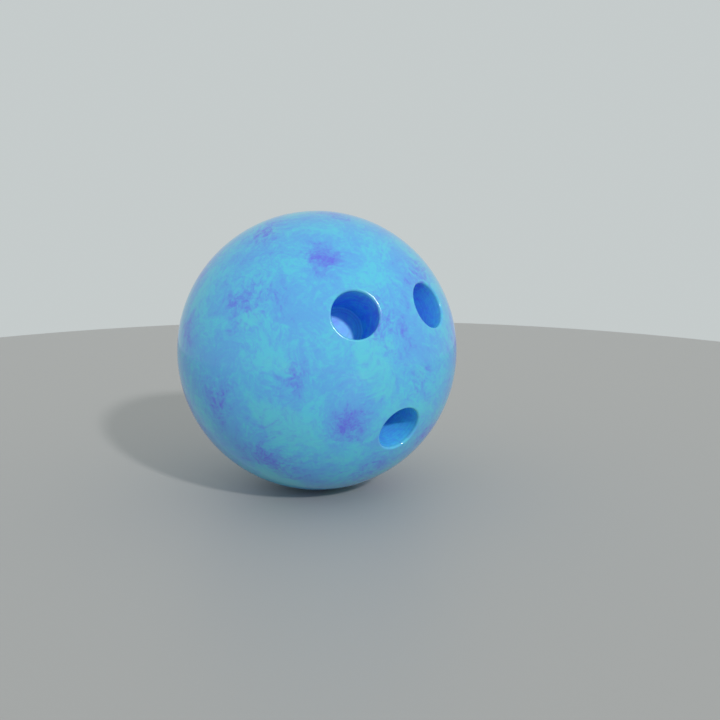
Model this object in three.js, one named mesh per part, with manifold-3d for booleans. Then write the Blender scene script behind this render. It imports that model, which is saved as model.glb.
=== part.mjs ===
// A drilled bowling ball. A thick marbled coverstock is cast round a core of three densities,
// and the locator pin that held the core in the mould runs out to the surface. Two finger
// bores and a thumb bore are drilled radially into the coverstock and stop short of the core.
// Millimetres, +Z up. The origin is the ball's centre and the grip faces -Y.
import * as THREE from "three";
import { mergeVertices } from "three/addons/utils/BufferGeometryUtils.js";
import Module from "manifold-3d";

// Driving dimensions.
const BALL_RADIUS = 108.5;
const BORE_RADIUS = 17;
const BORE_DEPTH = 42; // from the ball's surface to the flat floor, along the bore's axis
const BORE_FLOOR_BEVEL = 1.2; // left by the drill's corner
const LIP_BEVEL = 1.5; // eases the edge that the fingers bend over
const FINGER_SPREAD = 35.9; // degrees between the axes of the two finger bores
const GRIP_SPAN = 48; // degrees from the line between the fingers to the thumb bore
const GRIP_CENTRE_ELEVATION = 0.5; // degrees above level, as the ball lies
const GRIP_ROLL = 1.35; // degrees that the whole grip is rolled about its own centre, as it lies
const PIN_AZIMUTH = 64; // degrees round from -Y towards +X
const PIN_ELEVATION = 35;
const PIN_RADIUS = 4.5;
const OUTER_CORE_RADIUS = 58; // leaves a coverstock two inches thick
const CAST_GAP = 0.3; // between a piece and the one cast round it

// The weight block and flip block, by their distance along the core's axis from the ball's centre.
const WEIGHT_BLOCK = { base: -46, top: 40, footRadius: 21, footEdge: 4, waistRadius: 14, headRadius: 34 };
const FLIP_BLOCK = { base: 26, radius: 22, edge: 2, socketDepth: 9 };

// Facets round a circle: the ball's are fine, because it rolls on them.
const BALL_SEGMENTS = 64;
const BORE_SEGMENTS = 40;
const CORE_SEGMENTS = 32;
const PIN_SEGMENTS = 24;
const CURVE_STEPS = 4;
const BEYOND = 12; // how far a cutter runs past the surface that it opens

const wasm = await Module();
wasm.setup();

// ---- Directions ----------------------------------------------------------------------------

// A unit vector, from degrees round from -Y towards +X and degrees above level.
function direction(azimuth, elevation) {
  const level = Math.cos(THREE.MathUtils.degToRad(elevation));
  const turn = THREE.MathUtils.degToRad(azimuth);
  const height = Math.sin(THREE.MathUtils.degToRad(elevation));
  return new THREE.Vector3(level * Math.sin(turn), -level * Math.cos(turn), height);
}

// The axis of a bore: so far above the grip's centre, and spread to one side, in degrees.
function boreAxis(above, aside) {
  const spread = THREE.MathUtils.degToRad(aside);
  const sideways = new THREE.Vector3(1, 0, 0);
  const axis = direction(0, GRIP_CENTRE_ELEVATION + above).multiplyScalar(Math.cos(spread));
  axis.addScaledVector(sideways, Math.sin(spread));
  const gripCentre = direction(0, GRIP_CENTRE_ELEVATION);
  return axis.applyAxisAngle(gripCentre, THREE.MathUtils.degToRad(GRIP_ROLL));
}

const BORE_AXES = [
  boreAxis(GRIP_SPAN / 2, -FINGER_SPREAD / 2),
  boreAxis(GRIP_SPAN / 2, FINGER_SPREAD / 2),
  boreAxis(-GRIP_SPAN / 2, 0),
];
const PIN_AXIS = direction(PIN_AZIMUTH, PIN_ELEVATION);

// ---- Shapes --------------------------------------------------------------------------------

// A ball with its poles on Z, so that its lowest and highest points are vertices.
function ball(radius, segments) {
  return new THREE.SphereGeometry(radius, segments, segments / 2).rotateX(Math.PI / 2);
}

// The solid of revolution of an outline about an axis through the ball's centre. The outline
// holds (radius, distance along the axis) points, from the near end of the axis to the far one.
function revolve(outline, axis, segments) {
  const turn = new THREE.Quaternion().setFromUnitVectors(new THREE.Vector3(0, 1, 0), axis);
  return new THREE.LatheGeometry(outline, segments).applyQuaternion(turn);
}

function outlineOf(...pairs) {
  return pairs.map(([radius, along]) => new THREE.Vector2(radius, along));
}

// What a drill with an easing cutter removes: a flat-floored bore that flares at its mouth.
function boreOutline() {
  const floor = BALL_RADIUS - BORE_DEPTH;
  const lipRadius = BORE_RADIUS + LIP_BEVEL;
  const mouth = Math.sqrt(BALL_RADIUS ** 2 - lipRadius ** 2);
  return outlineOf(
    [0, floor],
    [BORE_RADIUS - BORE_FLOOR_BEVEL, floor],
    [BORE_RADIUS, floor + BORE_FLOOR_BEVEL],
    [BORE_RADIUS, mouth - LIP_BEVEL],
    [lipRadius + BEYOND, mouth + BEYOND],
    [0, mouth + BEYOND],
  );
}

// A plain round rod along the axis.
function rodOutline(radius, from, to) {
  return outlineOf([0, from], [radius, from], [radius, to], [0, to]);
}

// The bulb-shaped weight block, made larger all round by grow for the hollow that holds it.
function weightBlockOutline(grow = 0) {
  const { footEdge } = WEIGHT_BLOCK;
  const base = WEIGHT_BLOCK.base - grow;
  const top = WEIGHT_BLOCK.top + grow;
  const foot = WEIGHT_BLOCK.footRadius + grow;
  const waist = WEIGHT_BLOCK.waistRadius + grow;
  const head = WEIGHT_BLOCK.headRadius + grow;
  const waistAlong = -14;
  const headAlong = 16;
  const bend = 9; // how far each curve's handles reach along the axis
  const path = new THREE.Path();
  path.moveTo(0, base);
  path.lineTo(foot - footEdge, base);
  path.absarc(foot - footEdge, base + footEdge, footEdge, -Math.PI / 2, 0);
  path.lineTo(foot, base + 2 * footEdge);
  path.bezierCurveTo(foot, base + 2 * footEdge + bend, waist, waistAlong - bend, waist, waistAlong);
  path.bezierCurveTo(waist, waistAlong + bend, head, headAlong - 2 * bend, head, headAlong);
  path.quadraticCurveTo(head, top - footEdge, head - 2 * footEdge, top);
  path.lineTo(0, top);
  return path.getPoints(CURVE_STEPS);
}

// The dense disc in the weight block's head, flush with its top.
function flipBlockOutline(grow = 0, top = WEIGHT_BLOCK.top) {
  const { base, edge } = FLIP_BLOCK;
  const radius = FLIP_BLOCK.radius + grow;
  return outlineOf(
    [0, base - grow],
    [radius - edge, base - grow],
    [radius, base - grow + edge],
    [radius, top],
    [0, top],
  );
}

// The pin, whose outer end is ground flush with the ball.
function pinOutline() {
  const seat = WEIGHT_BLOCK.top - FLIP_BLOCK.socketDepth + CAST_GAP;
  const rim = Math.sqrt(BALL_RADIUS ** 2 - PIN_RADIUS ** 2);
  return outlineOf([0, seat], [PIN_RADIUS, seat], [PIN_RADIUS, rim], [0, BALL_RADIUS]);
}

// ---- Joining and cutting -------------------------------------------------------------------

function solidOf(geometry) {
  const bare = geometry.clone();
  bare.deleteAttribute("normal");
  bare.deleteAttribute("uv");
  const merged = mergeVertices(bare, 1e-4);
  const vertProperties = merged.attributes.position.array;
  const triVerts = new Uint32Array(merged.index.array);
  return new wasm.Manifold(new wasm.Mesh({ numProp: 3, vertProperties, triVerts }));
}

function geometryOf(solid) {
  const { vertProperties, triVerts } = solid.getMesh();
  const geometry = new THREE.BufferGeometry();
  geometry.setAttribute("position", new THREE.BufferAttribute(vertProperties, 3));
  geometry.setIndex(new THREE.BufferAttribute(triVerts, 1));
  geometry.computeVertexNormals();
  return geometry;
}

function cut(geometry, ...cutters) {
  const left = cutters.reduce((solid, cutter) => solid.subtract(solidOf(cutter)), solidOf(geometry));
  return geometryOf(left);
}

// The hole that the pin passes through, between two distances along its axis.
function pinHole(from, to) {
  return revolve(rodOutline(PIN_RADIUS + CAST_GAP, from, to), PIN_AXIS, PIN_SEGMENTS);
}

// ---- The pieces ----------------------------------------------------------------------------

const pieces = {
  coverstock: () =>
    cut(
      ball(BALL_RADIUS, BALL_SEGMENTS),
      ball(OUTER_CORE_RADIUS + CAST_GAP, CORE_SEGMENTS),
      pinHole(OUTER_CORE_RADIUS - BEYOND, BALL_RADIUS + BEYOND),
      ...BORE_AXES.map((axis) => revolve(boreOutline(), axis, BORE_SEGMENTS)),
    ),

  outer_core: () =>
    cut(
      ball(OUTER_CORE_RADIUS, CORE_SEGMENTS),
      revolve(weightBlockOutline(CAST_GAP), PIN_AXIS, CORE_SEGMENTS),
      pinHole(WEIGHT_BLOCK.top - CAST_GAP, OUTER_CORE_RADIUS + BEYOND),
    ),

  weight_block: () =>
    cut(
      revolve(weightBlockOutline(), PIN_AXIS, CORE_SEGMENTS),
      revolve(flipBlockOutline(CAST_GAP, WEIGHT_BLOCK.top + BEYOND), PIN_AXIS, CORE_SEGMENTS),
    ),

  flip_block: () =>
    cut(
      revolve(flipBlockOutline(), PIN_AXIS, CORE_SEGMENTS),
      pinHole(WEIGHT_BLOCK.top - FLIP_BLOCK.socketDepth, WEIGHT_BLOCK.top + BEYOND),
    ),

  locator_pin: () => revolve(pinOutline(), PIN_AXIS, PIN_SEGMENTS),
};

const finishes = {
  coverstock: { color: 0x5cb6dc, roughness: 0.15 },
  outer_core: { color: 0xb9b2a0, roughness: 0.7 },
  weight_block: { color: 0x8f3b2c, roughness: 0.5 },
  flip_block: { color: 0x3c4046, roughness: 0.5 },
  locator_pin: { color: 0xf2efe6, roughness: 0.2 },
};

const bowlingBall = new THREE.Group();
for (const [name, shape] of Object.entries(pieces)) {
  const material = new THREE.MeshStandardMaterial({ ...finishes[name], metalness: 0 });
  const mesh = new THREE.Mesh(shape(), material);
  mesh.name = name;
  bowlingBall.add(mesh);
}

export default bowlingBall;
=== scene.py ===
"""A marbled bowling ball: the coverstock and the cast pieces inside it, on a pale studio floor."""
from math import acos, asin, atan2, cos, degrees, pi, radians, sin, sqrt

import bmesh
import bpy
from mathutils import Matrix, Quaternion, Vector
from mathutils.geometry import delaunay_2d_cdt


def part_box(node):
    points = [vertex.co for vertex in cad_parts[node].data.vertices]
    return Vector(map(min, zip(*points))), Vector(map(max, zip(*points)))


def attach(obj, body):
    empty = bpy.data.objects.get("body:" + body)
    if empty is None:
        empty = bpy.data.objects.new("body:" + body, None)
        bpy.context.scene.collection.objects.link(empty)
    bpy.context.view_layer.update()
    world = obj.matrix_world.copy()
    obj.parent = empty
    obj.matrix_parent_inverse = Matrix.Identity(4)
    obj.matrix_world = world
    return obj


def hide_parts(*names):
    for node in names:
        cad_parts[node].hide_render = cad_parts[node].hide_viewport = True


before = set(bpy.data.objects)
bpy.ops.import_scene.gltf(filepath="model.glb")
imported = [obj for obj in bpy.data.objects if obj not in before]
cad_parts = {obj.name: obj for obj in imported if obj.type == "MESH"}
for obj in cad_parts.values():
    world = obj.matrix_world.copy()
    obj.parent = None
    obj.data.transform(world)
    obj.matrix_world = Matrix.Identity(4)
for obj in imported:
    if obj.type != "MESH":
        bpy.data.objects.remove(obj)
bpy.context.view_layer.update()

MM = 0.001

# Driving dimensions, in metres and degrees, as the CAD model has them.
BALL_RADIUS = (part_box("coverstock")[1][2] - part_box("coverstock")[0][2]) / 2
BORE_RADIUS = 17 * MM
BORE_DEPTH = 42 * MM
BORE_FLOOR_FILLET = 1.2 * MM
LIP_FILLET = 1.5 * MM
FINGER_SPREAD = 35.9
GRIP_SPAN = 48
GRIP_CENTRE_ELEVATION = 0.5
GRIP_ROLL = 1.35
PIN_AZIMUTH = 64
PIN_ELEVATION = 35
PIN_RADIUS = 4.5 * MM
OUTER_CORE_RADIUS = 58 * MM
CAST_GAP = 0.3 * MM
PIN_JOINT = 0.04 * MM  # a cast joint shows as no more than a hairline

# The weight block's radii, and its places along the pin's axis from the ball's centre.
BLOCK_BASE = -46 * MM
BLOCK_TOP = 40 * MM
BLOCK_FOOT = 21 * MM
BLOCK_WAIST = 14 * MM
BLOCK_HEAD = 34 * MM
BLOCK_WAIST_ALONG = -14 * MM
BLOCK_HEAD_ALONG = 16 * MM
BLOCK_EDGE = 4 * MM
BLOCK_BEND = 9 * MM  # how far each curve's handles reach along the axis

# The flip block, in the same way, and the socket that the pin stands in.
FLIP_BASE = 26 * MM
FLIP_RADIUS = 22 * MM
FLIP_EDGE = 2 * MM
FLIP_TOP_EDGE = 0.6 * MM
SOCKET_RIM = 0.4 * MM
PIN_SOCKET = 9 * MM
PIN_FOOT_EDGE = 0.5 * MM

# The camera, in degrees and in ball radii.
CAMERA_YAW = -38.0
CAMERA_PITCH = 10.8
CAMERA_PLACE = (-35.3, 6.48, 1.165)  # azimuth, distance on the level, height over the centre
CAMERA_LENS = 45.4  # this and the sensor's width are in millimetres, as Blender has them
SENSOR_WIDTH = 36

# The stage and its lights.
FLOOR_RADIUS = 0.9  # metres
FLOOR_SEGMENTS = 96
FLOOR_COLOUR = (0.47, 0.46, 0.45, 1)
SKY_COLOUR = (0.56, 0.6, 0.6, 1)
KEY_LIGHT = (-6, 32)  # azimuth and elevation
KEY_STRENGTH = 1.3
KEY_WIDTH = 4  # degrees across, which softens its shadows

# How finely the meshes are made.
BALL_SUBDIVISIONS = 7
HOLLOW_SUBDIVISIONS = 5
BORE_SEGMENTS = 128
PIN_SEGMENTS = 48
CORE_SEGMENTS = 96
LIP_STEPS = 10
FLOOR_FILLET_STEPS = 6
BORE_WALL_STEPS = 18
PIN_WALL_STEPS = 16
CURVE_STEPS = 14
ROUNDING_STEPS = 6
CORE_ARC_STEPS = 48
PIN_END_STEPS = 8
CLEARED_BAND = 3  # round a mouth, in edge lengths of the sphere that the mouth is cut in


# ---- Directions -----------------------------------------------------------------------------

def direction(azimuth, elevation):
    """A unit vector, from degrees round from -Y towards +X and degrees above level."""
    turn, rise = radians(azimuth), radians(elevation)
    return Vector((cos(rise) * sin(turn), -cos(rise) * cos(turn), sin(rise)))


def bore_axis(above, aside):
    """The axis of a bore: so far above the grip's centre, and spread to one side, in degrees."""
    spread = radians(aside)
    axis = direction(0, GRIP_CENTRE_ELEVATION + above) * cos(spread) + Vector((1, 0, 0)) * sin(spread)
    roll = Quaternion(direction(0, GRIP_CENTRE_ELEVATION), radians(GRIP_ROLL))
    return roll @ axis


BORE_AXES = [
    bore_axis(GRIP_SPAN / 2, -FINGER_SPREAD / 2),
    bore_axis(GRIP_SPAN / 2, FINGER_SPREAD / 2),
    bore_axis(-GRIP_SPAN / 2, 0),
]
PIN_AXIS = direction(PIN_AZIMUTH, PIN_ELEVATION)


def standing_on(axis):
    """The rotation that stands local Z on an axis."""
    return axis.to_track_quat("Z", "Y").to_matrix()


# ---- Mesh making ----------------------------------------------------------------------------

def widening_rings(start, stop, segments, step, widest):
    """Rings from one angle off an axis to another, ever wider apart, each (angle, points in it)."""
    rings = [(start, segments)]
    angle = start
    while angle + step < stop:
        angle += step
        step = min(step * 1.3, widest)
        rings.append((angle, round(2 * pi * sin(angle) / step)))
    return rings


class Skin:
    """A mesh under construction: points, each with its true normal, and faces."""

    def __init__(self):
        self.points = []
        self.normals = []
        self.faces = []

    def add(self, point, normal):
        self.points.append(point)
        self.normals.append(normal)
        return len(self.points) - 1

    def loop(self, axis, segments, radius, along, out, up):
        """A circle round an axis. Its normals point out from the axis and up along it."""
        turn = standing_on(axis)
        numbers = []
        for i in range(segments):
            angle = 2 * pi * i / segments
            spoke = turn @ Vector((cos(angle), sin(angle), 0))
            numbers.append(self.add(spoke * radius + axis * along, spoke * out + axis * up))
        return numbers

    def bridge(self, loop, other):
        """Faces between two loops of as many points."""
        for i, number in enumerate(loop):
            self.faces.append((loop[i - 1], number, other[i], other[i - 1]))

    def lathe(self, axis, segments, profile, first=None, last=None):
        """Turns a profile of (radius, along, out, up) round an axis, from and to a loop if given."""
        loops = [first] if first else []
        for radius, along, out, up in profile:
            if radius > 0:
                loops.append(self.loop(axis, segments, radius, along, out, up))
            else:
                loops.append(self.add(axis * along, axis * up))
        loops += [last] if last else []
        for loop, other in zip(loops, loops[1:]):
            if isinstance(loop, int):
                self.cap(other, loop)
            elif isinstance(other, int):
                self.cap(loop, other)
            else:
                self.bridge(loop, other)

    def cap(self, loop, centre):
        """Faces from a loop to the point at its centre."""
        for i, number in enumerate(loop):
            self.faces.append((loop[i - 1], number, centre))

    def ball(self, radius, subdivisions, mouths, facing=1):
        """Adds a sphere with round mouths, each (axis, rim radius, segments), and gives their rims."""
        sphere = bmesh.new()
        bmesh.ops.create_icosphere(sphere, subdivisions=subdivisions, radius=1)
        spacing = sphere.edges[:][0].calc_length()
        cuts = [(axis, asin(rim / radius) + CLEARED_BAND * spacing) for axis, rim, _ in mouths]
        covered = [v for v in sphere.verts if any(v.co.angle(axis) < reach for axis, reach in cuts)]
        bmesh.ops.delete(sphere, geom=covered, context="VERTS")
        sphere.verts.index_update()
        start = len(self.points)
        for vertex in sphere.verts:
            self.add(vertex.co.normalized() * radius, vertex.co.normalized() * facing)
        for face in sphere.faces:
            self.faces.append(tuple(start + v.index for v in face.verts))
        frays = [tuple(start + v.index for v in e.verts) for e in sphere.edges if e.is_boundary]
        sphere.free()
        return [self.mend(radius, mouth, reach, frays, facing) for mouth, (_, reach) in zip(mouths, cuts)]

    def mend(self, radius, mouth, reach, frays, facing):
        """Fills the band from a mouth's rim to the frayed edge cut round it, and gives the rim."""
        axis, rim, segments = mouth
        turn = standing_on(axis)
        start = asin(rim / radius)
        spacing = (reach - start) / CLEARED_BAND
        first_step = 2 * pi * rim / radius / segments
        numbers = []
        for away, count in widening_rings(start, reach - spacing / 4, segments, first_step, spacing):
            for i in range(count):
                around = 2 * pi * i / count
                spoke = turn @ Vector((sin(away) * cos(around), sin(away) * sin(around), cos(away)))
                numbers.append(self.add(spoke * radius, spoke * facing))
        rim_loop = numbers[:segments]
        bounds = [(i, (i + 1) % segments) for i in range(segments)]
        place = {number: i for i, number in enumerate(numbers)}
        for pair in frays:
            if self.points[pair[0]].angle(axis) >= reach + 2 * spacing:
                continue
            for number in pair:
                if number not in place:
                    place[number] = len(numbers)
                    numbers.append(number)
            bounds.append((place[pair[0]], place[pair[1]]))
        flat = []
        for number in numbers:
            local = turn.transposed() @ self.points[number]
            away = acos(min(local.z / radius, 1))
            around = atan2(local.y, local.x)
            flat.append(Vector((away * cos(around), away * sin(around))))
        _, _, triangles, origins, _, _ = delaunay_2d_cdt(flat, bounds, [], 1, 1e-9)
        for triangle in triangles:
            corners = [origins[i][0] for i in triangle]
            if max(corners) >= segments:
                self.faces.append(tuple(numbers[i] for i in corners))
        return rim_loop

    def piece(self, name, material, true_normals=True):
        """The finished object, with its faces turned outwards."""
        mesh = bpy.data.meshes.new(name)
        mesh.from_pydata(self.points, [], self.faces)
        tidy = bmesh.new()
        tidy.from_mesh(mesh)
        bmesh.ops.recalc_face_normals(tidy, faces=tidy.faces)
        tidy.to_mesh(mesh)
        tidy.free()
        mesh.shade_smooth()
        if true_normals:
            mesh.normals_split_custom_set_from_vertices(self.normals)
        else:
            mesh.set_sharp_from_angle(angle=radians(40))
        mesh.materials.append(material)
        thing = bpy.data.objects.new(name, mesh)
        bpy.context.collection.objects.link(thing)
        return thing


# ---- Materials ------------------------------------------------------------------------------

class Recipe:
    """A material under construction. Each call adds a node and gives back the socket to wire on."""

    def __init__(self, name, **finish):
        self.material = bpy.data.materials.new(name)
        self.material.use_nodes = True
        self.tree = self.material.node_tree
        self.shader = self.tree.nodes["Principled BSDF"]
        for socket, value in finish.items():
            self.shader.inputs[socket.replace("_", " ")].default_value = value

    def node(self, kind, inputs, output=0, **settings):
        node = self.tree.nodes.new("ShaderNode" + kind)
        for name, value in settings.items():
            setattr(node, name, value)
        for socket, value in inputs.items():
            if isinstance(value, bpy.types.NodeSocket):
                self.tree.links.new(value, node.inputs[socket])
            else:
                node.inputs[socket].default_value = value
        return node.outputs[output]

    def give(self, socket, value):
        """Wires a value to the shader."""
        self.tree.links.new(value, self.shader.inputs[socket])

    def place(self):
        """The point on the piece, in ball radii from the ball's centre."""
        return self.vector("SCALE", self.node("TexCoord", {}, "Object"), scale=1 / BALL_RADIUS)

    def vector(self, operation, a, b=None, scale=None):
        inputs = {0: a}
        if b is not None:
            inputs[1] = b
        if scale is not None:
            inputs["Scale"] = scale
        output = 1 if operation in ("LENGTH", "DISTANCE", "DOT_PRODUCT") else 0
        return self.node("VectorMath", inputs, output, operation=operation)

    def math(self, operation, a, b=0.0):
        return self.node("Math", {0: a, 1: b}, operation=operation)

    def weighted(self, *parts):
        """The sum of values, each times its weight."""
        value, weight = parts[0]
        total = self.math("MULTIPLY", value, weight)
        for value, weight in parts[1:]:
            total = self.math("ADD", total, self.math("MULTIPLY", value, weight))
        return total

    def noise(self, where, scale, detail=2.0, roughness=0.5, distortion=0.0, output="Fac"):
        inputs = {"Vector": where, "Scale": scale, "Detail": detail}
        inputs.update({"Roughness": roughness, "Distortion": distortion})
        return self.node("TexNoise", inputs, output)

    def pushed(self, where, scale, amount, detail=2.0):
        """The place, moved about by noise of that scale."""
        swirl = self.noise(where, scale, detail, output="Color")
        centred = self.vector("SUBTRACT", swirl, (0.5, 0.5, 0.5))
        return self.vector("ADD", where, self.vector("SCALE", centred, scale=amount))

    def spread(self, value, low, high, to_low=0.0, to_high=1.0):
        """The value, brought smoothly from one range to another and held at its ends."""
        inputs = {"Value": value, "From Min": low, "From Max": high, "To Min": to_low, "To Max": to_high}
        return self.node("MapRange", inputs, interpolation_type="SMOOTHSTEP")

    def blend(self, share, a, b):
        """One colour going over to another as the share goes from 0 to 1."""
        inputs = {0: share, 6: a, 7: b}
        return self.node("Mix", inputs, 2, data_type="RGBA")


# Violet clouds in the resin, scattered over the whole ball along a spiral.
CLOUD_COUNT = 40
CLOUD_TURN = 137.5  # degrees round from one cloud to the next, so that they never line up
CLOUD_SIZES = (0.1, 0.2, 0.14)  # in ball radii, taken in turn
CLOUD_FADE = 1.8  # where a cloud ends, in its own sizes from its centre
CLOUD_STRENGTH = 0.85

# Painted shade: one big violet cloud under the surface, in ball radii, shown only below the polished
# surface, chiefly on the bore walls. The finger bores cut through it, so their shaded walls turn royal
# blue.
BORE_SHADE_CLOUD = direction(0, 25) * 0.62
BORE_SHADE_CORE = 0.25
BORE_SHADE_REACH = 0.6

# The resin's colours.
CYAN = (0.11, 0.61, 0.83, 1)
AZURE = (0.12, 0.44, 0.87, 1)
MINT = (0.13, 0.66, 0.77, 1)
VIOLET = (0.14, 0.14, 0.84, 1)
BORE_SHADE_TINT = (0.75, 1.02, 1.25)  # painted shade: turns the same resin towards a darker royal blue inside the bores


def violet_clouds(recipe, place):
    """How far the place lies within any of the clouds, whose edges are ragged."""
    ragged = recipe.pushed(place, scale=5.0, amount=0.2, detail=4.0)
    # Painted shade: the big violet cloud counts only inside the bores, and much less down at their
    # floors.
    shade_cloud_away = recipe.vector("DISTANCE", ragged, tuple(BORE_SHADE_CLOUD))
    height = recipe.vector("LENGTH", place)
    clear_of_floor = recipe.spread(height, 0.6, 0.7, 0.2, 1)
    shaded_walls = recipe.math("MULTIPLY", bored(recipe, height), clear_of_floor)
    clouds = recipe.math("MULTIPLY", recipe.spread(shade_cloud_away, BORE_SHADE_REACH, BORE_SHADE_CORE, 0, 1), shaded_walls)
    for i in range(CLOUD_COUNT):
        elevation = degrees(asin(1 - (2 * i + 1) / CLOUD_COUNT))
        centre = direction(CLOUD_TURN * i, elevation)
        reach = CLOUD_FADE * CLOUD_SIZES[i % len(CLOUD_SIZES)]
        away = recipe.vector("DISTANCE", ragged, tuple(centre))
        clouds = recipe.math("ADD", recipe.spread(away, reach, 0, 0, CLOUD_STRENGTH), clouds)
    return recipe.math("MINIMUM", clouds, 1.0)


def bored(recipe, height):
    """0 on the polished ball and 1 inside its bores, from the distance to the ball's centre."""
    return recipe.spread(height, 0.988, 0.96)


def marbled_resin():
    """Cyan resin with azure drifts and violet clouds, poured together and drawn out into wisps."""
    recipe = Recipe("marbled_resin", IOR=1.5)
    place = recipe.place()
    poured = recipe.pushed(place, scale=1.6, amount=0.5)
    drawn = recipe.pushed(poured, scale=4.5, amount=0.2)
    combed = recipe.pushed(place, scale=6.5, amount=0.16, detail=1.0)
    veils = recipe.noise(drawn, scale=3.4, detail=6.0, roughness=0.62, distortion=0.4)
    fibres = recipe.noise(drawn, scale=19.0, detail=6.0, roughness=0.74, distortion=0.8)
    hairs = recipe.noise(combed, scale=26.0, detail=4.0, roughness=0.75, distortion=0.6)
    drifts = recipe.noise(combed, scale=2.4, detail=4.0, roughness=0.6)
    height = recipe.vector("LENGTH", place)
    drilled = bored(recipe, height)
    clouds = violet_clouds(recipe, place)

    wisps = recipe.weighted((veils, 0.4), (fibres, 0.35), (hairs, 0.25))
    azure = recipe.weighted((wisps, 1.25), (drifts, 0.25), (clouds, 0.07))
    violet = recipe.weighted((wisps, 1.0), (clouds, 0.13))
    colour = recipe.blend(recipe.spread(azure, 0.64, 0.83), CYAN, AZURE)
    colour = recipe.blend(recipe.spread(drifts, 0.48, 0.34, 0, 0.5), colour, MINT)
    colour = recipe.blend(recipe.spread(violet, 0.54, 0.72, 0.0, 0.85), colour, VIOLET)

    rings = recipe.node("TexNoise", {"W": height, "Scale": 220, "Detail": 2}, noise_dimensions="1D")
    # Painted shade: inside the bores the resin is tinted darker and bluer, standing in for the shade and
    # bounced light in the recesses. The ring noise is the drill's turning marks, which also bump the
    # walls.
    shade_and_rings = recipe.vector("MULTIPLY", colour, BORE_SHADE_TINT)
    shade_and_rings = recipe.vector("SCALE", shade_and_rings, scale=recipe.spread(rings, 0.3, 0.7, 0.86, 1.12))
    shade_and_rings = recipe.vector("MINIMUM", shade_and_rings, (1, 1, 1))
    recipe.give("Base Color", recipe.blend(drilled, colour, shade_and_rings))
    recipe.give("Roughness", recipe.spread(drilled, 0, 1, 0.1, 0.42))
    relief = {"Height": recipe.math("MULTIPLY", rings, drilled), "Strength": 1, "Distance": 0.1 * MM}
    recipe.give("Normal", recipe.node("Bump", relief))
    return recipe.material


def filled_resin(name, dark, light, fleck, fleck_size, roughness):
    """Cast resin that carries a filler: cloudy where it was stirred, and flecked with grains."""
    recipe = Recipe(name, IOR=1.5)
    place = recipe.place()
    folded = recipe.pushed(place, scale=3.0, amount=0.3)
    stirred = recipe.noise(folded, scale=5.0, detail=5.0, roughness=0.6)
    colour = recipe.blend(recipe.spread(stirred, 0.35, 0.65), dark, light)
    grains = recipe.node("TexVoronoi", {"Vector": place, "Scale": BALL_RADIUS / fleck_size}, "Distance")
    shown = recipe.spread(recipe.noise(place, scale=40.0), 0.4, 0.6)
    grains = recipe.math("MULTIPLY", recipe.spread(grains, 0.32, 0.16), shown)
    recipe.give("Base Color", recipe.blend(grains, colour, fleck))
    recipe.give("Roughness", recipe.spread(stirred, 0.3, 0.7, roughness + 0.06, roughness - 0.06))
    skin = recipe.noise(place, scale=90.0, detail=4.0, roughness=0.6)
    relief = {"Height": skin, "Strength": 0.4, "Distance": 0.1 * MM}
    recipe.give("Normal", recipe.node("Bump", relief))
    return recipe.material


# ---- Coverstock -----------------------------------------------------------------------------

def arc(radius, along, fillet, start, stop, steps, side):
    """Profile points on a circle. side is 1 if the normals leave its centre, -1 if they face it."""
    points = []
    for i in range(steps + 1):
        angle = start + (stop - start) * i / steps
        out, up = cos(angle), sin(angle)
        points.append((radius + fillet * out, along + fillet * up, side * out, side * up))
    return points


def lip_centre(radius):
    """The centre of the arc that meets the ball and a bore of this radius smoothly."""
    out = radius + LIP_FILLET
    return out, sqrt((BALL_RADIUS - LIP_FILLET) ** 2 - out ** 2)


def bore_profile():
    """From the lip, down the wall and across the flat floor."""
    out, along = lip_centre(BORE_RADIUS)
    floor = BALL_RADIUS - BORE_DEPTH
    foot = floor + BORE_FLOOR_FILLET
    lip = arc(out, along, LIP_FILLET, atan2(along, out), pi, LIP_STEPS, 1)
    wall = []
    for i in range(1, BORE_WALL_STEPS):
        wall.append((BORE_RADIUS, along + (foot - along) * i / BORE_WALL_STEPS, -1, 0))
    inset = BORE_RADIUS - BORE_FLOOR_FILLET
    corner = arc(inset, foot, BORE_FLOOR_FILLET, 0, -pi / 2, FLOOR_FILLET_STEPS, -1)
    flat = [(BORE_RADIUS * share, floor, 0, 1) for share in (0.75, 0.55, 0.35, 0.15)]
    return lip[1:] + wall + corner + flat + [(0, floor, 0, 1)]


def coverstock(material):
    """The marbled shell. Its hollow opens to the outside through the pin's hole."""
    skin = Skin()
    out, along = lip_centre(BORE_RADIUS)
    bore_rim = out * BALL_RADIUS / (BALL_RADIUS - LIP_FILLET)
    pin_hole = PIN_RADIUS + PIN_JOINT
    hollow = OUTER_CORE_RADIUS + CAST_GAP
    mouths = [(axis, bore_rim, BORE_SEGMENTS) for axis in BORE_AXES]
    mouths.append((PIN_AXIS, pin_hole, PIN_SEGMENTS))
    rims = skin.ball(BALL_RADIUS, BALL_SUBDIVISIONS, mouths)
    for axis, rim in zip(BORE_AXES, rims):
        skin.lathe(axis, BORE_SEGMENTS, bore_profile(), first=rim)
    inner_mouth = (PIN_AXIS, pin_hole, PIN_SEGMENTS)
    inner_rim = skin.ball(hollow, HOLLOW_SUBDIVISIONS, [inner_mouth], facing=-1)[0]
    top = sqrt(BALL_RADIUS ** 2 - pin_hole ** 2)
    bottom = sqrt(hollow ** 2 - pin_hole ** 2)
    wall = []
    for i in range(PIN_WALL_STEPS + 1):
        wall.append((pin_hole, top + (bottom - top) * i / PIN_WALL_STEPS, -1, 0))
    skin.lathe(PIN_AXIS, PIN_SEGMENTS, wall, first=rims[3], last=inner_rim)
    shell = skin.piece("coverstock_shell", material)
    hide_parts("coverstock")
    return shell


# ---- The pieces inside ----------------------------------------------------------------------

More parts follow.
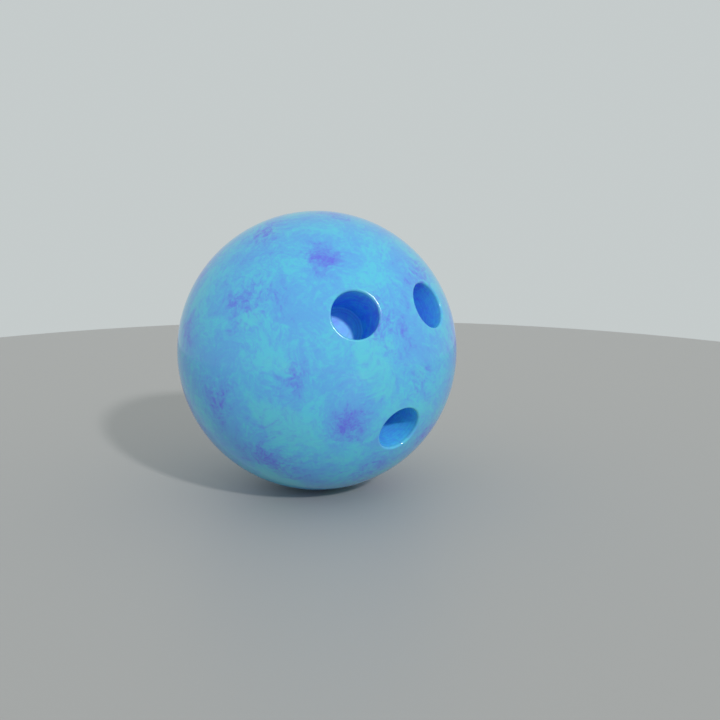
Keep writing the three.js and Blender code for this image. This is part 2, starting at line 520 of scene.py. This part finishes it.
def curve(handles, steps=CURVE_STEPS):
    """Points along the curve that its handles pull on, without the first."""
    points = []
    for i in range(1, steps + 1):
        level = [Vector(handle) for handle in handles]
        while len(level) > 1:
            level = [start.lerp(end, i / steps) for start, end in zip(level, level[1:])]
        points.append(tuple(level[0]))
    return points


def rounded(corner, before, after, fillet):
    """A corner of an outline, rounded between the directions of its two neighbours."""
    corner = Vector(corner)
    start = corner + (Vector(before) - corner).normalized() * fillet
    end = corner + (Vector(after) - corner).normalized() * fillet
    return [tuple(start)] + curve([start, corner, end], ROUNDING_STEPS)


def on_sphere(radius, out):
    """The outline point on a sphere, so far out from the axis."""
    return out, sqrt(radius ** 2 - out ** 2)


def weight_block_outline(grow):
    """The bulb's outline as (radius, along), from the foot's centre up to the edge of its top."""
    base, top = BLOCK_BASE - grow, BLOCK_TOP + grow
    foot, waist, head = BLOCK_FOOT + grow, BLOCK_WAIST + grow, BLOCK_HEAD + grow
    ankle = base + 2 * BLOCK_EDGE
    narrow, wide = BLOCK_WAIST_ALONG, BLOCK_HEAD_ALONG
    bend = BLOCK_BEND
    outline = [(0, base)] + rounded((foot, base), (0, base), (foot, 0), BLOCK_EDGE)
    outline.append((foot, ankle))
    outline += curve([(foot, ankle), (foot, ankle + bend), (waist, narrow - bend), (waist, narrow)])
    outline += curve([(waist, narrow), (waist, narrow + bend), (head, wide - 2 * bend), (head, wide)])
    outline += curve([(head, wide), (head, top - BLOCK_EDGE), (head - 2 * BLOCK_EDGE, top)])
    return outline


def outer_core_outline():
    """Up the outside to the pin's hole, and back down the hollow that holds the weight block."""
    hole = PIN_RADIUS + CAST_GAP
    outside = []
    start, stop = -pi / 2, acos(hole / OUTER_CORE_RADIUS)
    for i in range(CORE_ARC_STEPS + 1):
        angle = start + (stop - start) * i / CORE_ARC_STEPS
        outside.append((max(OUTER_CORE_RADIUS * cos(angle), 0), OUTER_CORE_RADIUS * sin(angle)))
    outside[0] = (0, -OUTER_CORE_RADIUS)
    return outside + [(hole, BLOCK_TOP + CAST_GAP)] + weight_block_outline(CAST_GAP)[::-1]


def weight_block_piece_outline():
    """The bulb, with the open-topped hollow that holds the flip block."""
    socket = FLIP_RADIUS + CAST_GAP
    floor = FLIP_BASE - CAST_GAP
    rim = rounded((socket, BLOCK_TOP), (BLOCK_HEAD, BLOCK_TOP), (socket, floor), SOCKET_RIM)
    corner = rounded((socket, floor), (socket, BLOCK_TOP), (0, floor), FLIP_EDGE)
    return weight_block_outline(0) + rim + corner + [(0, floor)]


def flip_block_outline():
    """The disc, flush with the weight block's top, with the socket that the pin stands in."""
    hole = PIN_RADIUS + CAST_GAP
    floor = BLOCK_TOP - PIN_SOCKET
    corner = rounded((FLIP_RADIUS, FLIP_BASE), (0, FLIP_BASE), (FLIP_RADIUS, BLOCK_TOP), FLIP_EDGE)
    edge = rounded((FLIP_RADIUS, BLOCK_TOP), (FLIP_RADIUS, FLIP_BASE), (hole, BLOCK_TOP), FLIP_TOP_EDGE)
    rim = rounded((hole, BLOCK_TOP), (FLIP_RADIUS, BLOCK_TOP), (hole, floor), SOCKET_RIM)
    return [(0, FLIP_BASE)] + corner + edge + rim + [(hole, floor), (0, floor)]


def pin_outline():
    """The rod, with a rounded foot, whose outer end is ground to the ball's own curve."""
    seat = BLOCK_TOP - PIN_SOCKET + CAST_GAP
    foot = rounded((PIN_RADIUS, seat), (0, seat), (PIN_RADIUS, BLOCK_TOP), PIN_FOOT_EDGE)
    end = []
    for i in range(PIN_END_STEPS + 1):
        end.append(on_sphere(BALL_RADIUS, PIN_RADIUS * (1 - i / PIN_END_STEPS)))
    return [(0, seat)] + foot + [(PIN_RADIUS, OUTER_CORE_RADIUS)] + end


def turned(node, material, outline, segments=CORE_SEGMENTS):
    """A piece turned about the pin's axis, put on the root body in place of the node whose CAD part it
    hides.
    """
    skin = Skin()
    skin.lathe(PIN_AXIS, segments, [(radius, along, 0, 0) for radius, along in outline])
    piece = skin.piece(node + "_cast", material, true_normals=False)
    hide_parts(node)
    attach(piece, "root")


def core():
    """The four pieces inside the coverstock, from the outermost to the pin."""
    filler = filled_resin("bubble_filler", (0.40, 0.34, 0.25, 1), (0.52, 0.46, 0.35, 1),
                          (0.74, 0.71, 0.62, 1), 2 * MM, 0.68)
    turned("outer_core", filler, outer_core_outline())
    dense = filled_resin("dense_resin", (0.22, 0.04, 0.03, 1), (0.36, 0.09, 0.06, 1),
                         (0.55, 0.30, 0.22, 1), 1.2 * MM, 0.48)
    turned("weight_block", dense, weight_block_piece_outline())
    densest = filled_resin("densest_resin", (0.03, 0.035, 0.04, 1), (0.08, 0.09, 0.10, 1),
                           (0.30, 0.32, 0.34, 1), 1 * MM, 0.45)
    turned("flip_block", densest, flip_block_outline())
    ivory = filled_resin("ivory_resin", (0.66, 0.60, 0.48, 1), (0.74, 0.70, 0.60, 1),
                         (0.82, 0.80, 0.74, 1), 0.8 * MM, 0.16)
    turned("locator_pin", ivory, pin_outline(), PIN_SEGMENTS)


# ---- Stage, light and camera ----------------------------------------------------------------

def studio():
    """A pale round floor under the ball, one narrow sun in front of it and soft light all round."""
    floor_material = bpy.data.materials.new("studio_floor")
    floor_material.use_nodes = True
    shader = floor_material.node_tree.nodes["Principled BSDF"]
    shader.inputs["Base Color"].default_value = FLOOR_COLOUR
    shader.inputs["Roughness"].default_value = 0.5
    under_ball = (0, 0, -BALL_RADIUS)
    bpy.ops.mesh.primitive_circle_add(
        vertices=FLOOR_SEGMENTS, radius=FLOOR_RADIUS, fill_type="NGON", location=under_ball)
    floor = bpy.context.object
    floor.name = "studio_floor"
    floor.data.materials.append(floor_material)

    world = bpy.data.worlds.new("studio")
    world.use_nodes = True
    world.node_tree.nodes["Background"].inputs["Color"].default_value = SKY_COLOUR
    world.node_tree.nodes["Background"].inputs["Strength"].default_value = 1
    bpy.context.scene.world = world

    key = bpy.data.lights.new("key", "SUN")
    key.energy = KEY_STRENGTH
    key.angle = radians(KEY_WIDTH)
    lamp = bpy.data.objects.new("key", key)
    lamp.rotation_euler = direction(*KEY_LIGHT).to_track_quat("Z", "Y").to_euler()
    bpy.context.collection.objects.link(lamp)


def camera():
    """The camera, which looks a little past the ball's centre."""
    azimuth, away, height = CAMERA_PLACE
    lens = bpy.data.cameras.new("camera")
    lens.lens = CAMERA_LENS
    lens.sensor_width = SENSOR_WIDTH
    viewer = bpy.data.objects.new("camera", lens)
    viewer.location = (direction(azimuth, 0) * away + Vector((0, 0, height))) * BALL_RADIUS
    viewer.rotation_euler = (radians(90 - CAMERA_PITCH), 0, radians(CAMERA_YAW))
    bpy.context.collection.objects.link(viewer)
    bpy.context.scene.camera = viewer


# ---- The scene ------------------------------------------------------------------------------

bpy.context.scene.view_settings.view_transform = "Standard"
studio()
camera()
shell = coverstock(marbled_resin())
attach(shell, "root")
core()
